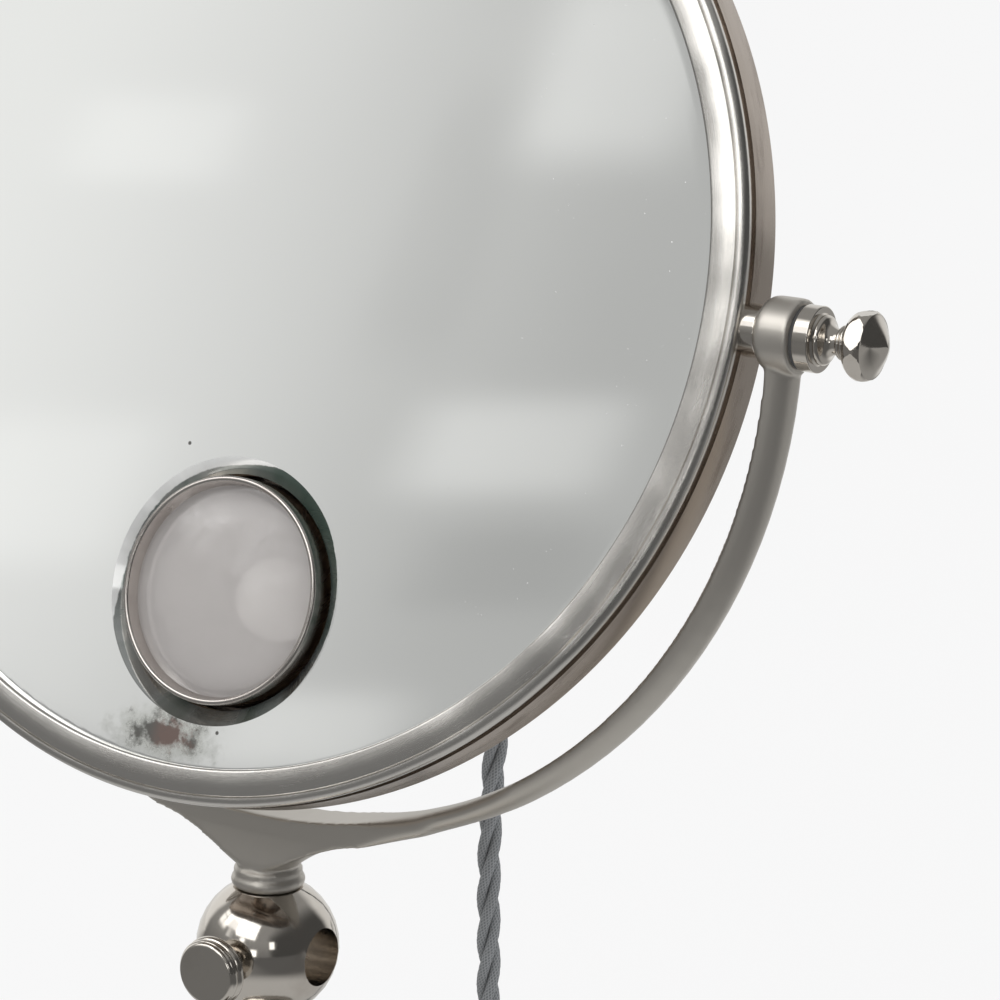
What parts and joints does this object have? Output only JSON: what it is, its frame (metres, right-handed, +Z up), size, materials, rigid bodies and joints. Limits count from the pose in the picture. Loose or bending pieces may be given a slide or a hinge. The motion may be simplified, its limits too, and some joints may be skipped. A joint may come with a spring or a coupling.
{
  "type": "lighted makeup mirror",
  "caption": "Round table mirror that tilts in a fork on a swivelling ball and post, with a lamp behind a porthole in the glass and a mains cord.",
  "frame": {"origin": "middle of the base's underside, on the axis of the post", "axes": "+Z up, the mirror faces -Y and looks up by 17.6 degrees, +X towards the right knob as the user sees it"},
  "size_m": [0.3668, 0.3198, 0.5657],
  "materials": {
    "bright_nickel": "polished",
    "dull_nickel": "satin",
    "tarnished_nickel": "satin",
    "mirror_glass": "polished",
    "milk_glass": "glossy",
    "bulb_glass": "frosted",
    "brass": "polished",
    "reflector_aluminium": "polished",
    "screw_steel": "plain",
    "cast_iron": "raw",
    "packing": "matte",
    "board": "matte",
    "felt": "matte",
    "black_plastic": "glossy",
    "black_rubber": "matte",
    "cord_rubber": "matte"
  },
  "bodies": {
    "stand": {"ball_clamp": "bright_nickel", "grub_screw": "screw_steel", "head_ring": "bright_nickel", "post": "bright_nickel", "foot_ring": "bright_nickel", "tie_rod": "screw_steel", "base_shell": "bright_nickel", "base_weight": "cast_iron", "base_plate": "screw_steel", "base_nut": "screw_steel", "felt_pad": "felt", "cord_lower": "cord_rubber", "cord_coil": "cord_rubber", "cord_tail": "cord_rubber", "cord_tie": "black_plastic", "plug_body": "black_plastic", "plug_pins": "brass"},
    "yoke": {"yoke": "tarnished_nickel", "swivel_spigot": "screw_steel", "pivot_bush_left": "brass", "pivot_bush_right": "brass", "pivot_washer_left": "packing", "pivot_washer_right": "packing"},
    "head": {"bezel_ring": "bright_nickel", "drum_shell": "dull_nickel", "mirror_glass": "mirror_glass", "glass_packing": "packing", "backing_board": "board", "back_cover": "dull_nickel", "cover_screws": "screw_steel", "lens_ring": "bright_nickel", "lens_dome": "milk_glass", "lamp_housing": "dull_nickel", "housing_screws": "screw_steel", "reflector": "reflector_aluminium", "bulb_glass": "bulb_glass", "bulb_cap": "brass", "lampholder": "black_plastic", "housing_cap": "dull_nickel", "strain_relief": "black_rubber", "trunnion_left": "bright_nickel", "trunnion_right": "bright_nickel", "cord_upper": "cord_rubber"},
    "knob_left": {"knob_left": "bright_nickel"},
    "knob_right": {"knob_right": "bright_nickel"},
    "thumbscrew": {"thumbscrew": "bright_nickel"}
  },
  "joints": [
    {"name": "yoke_swivel", "type": "hinge", "parent": "stand", "child": "yoke", "pos_m": [0, 0, 0.25], "axis": [0, 0, 1], "range_deg": [-45, 45], "deforming": ["cord_lower"]},
    {"name": "head_tilt", "type": "hinge", "parent": "yoke", "child": "head", "pos_m": [0, 0, 0.4248], "axis": [1, 0, 0], "range_deg": [-18, 55], "deforming": ["cord_upper"]},
    {"name": "knob_right_turn", "type": "hinge", "parent": "head", "child": "knob_right", "pos_m": [0.17, 0, 0.4248], "axis": [1, 0, 0], "range_deg": [0, 360]},
    {"name": "knob_left_turn", "type": "hinge", "parent": "head", "child": "knob_left", "pos_m": [-0.17, 0, 0.4248], "axis": [-1, 0, 0], "range_deg": [0, 360]},
    {"name": "thumbscrew_turn", "type": "hinge", "parent": "stand", "child": "thumbscrew", "pos_m": [0, -0.02, 0.232], "axis": [0, -1, 0], "range_deg": [0, 360]}
  ]
}
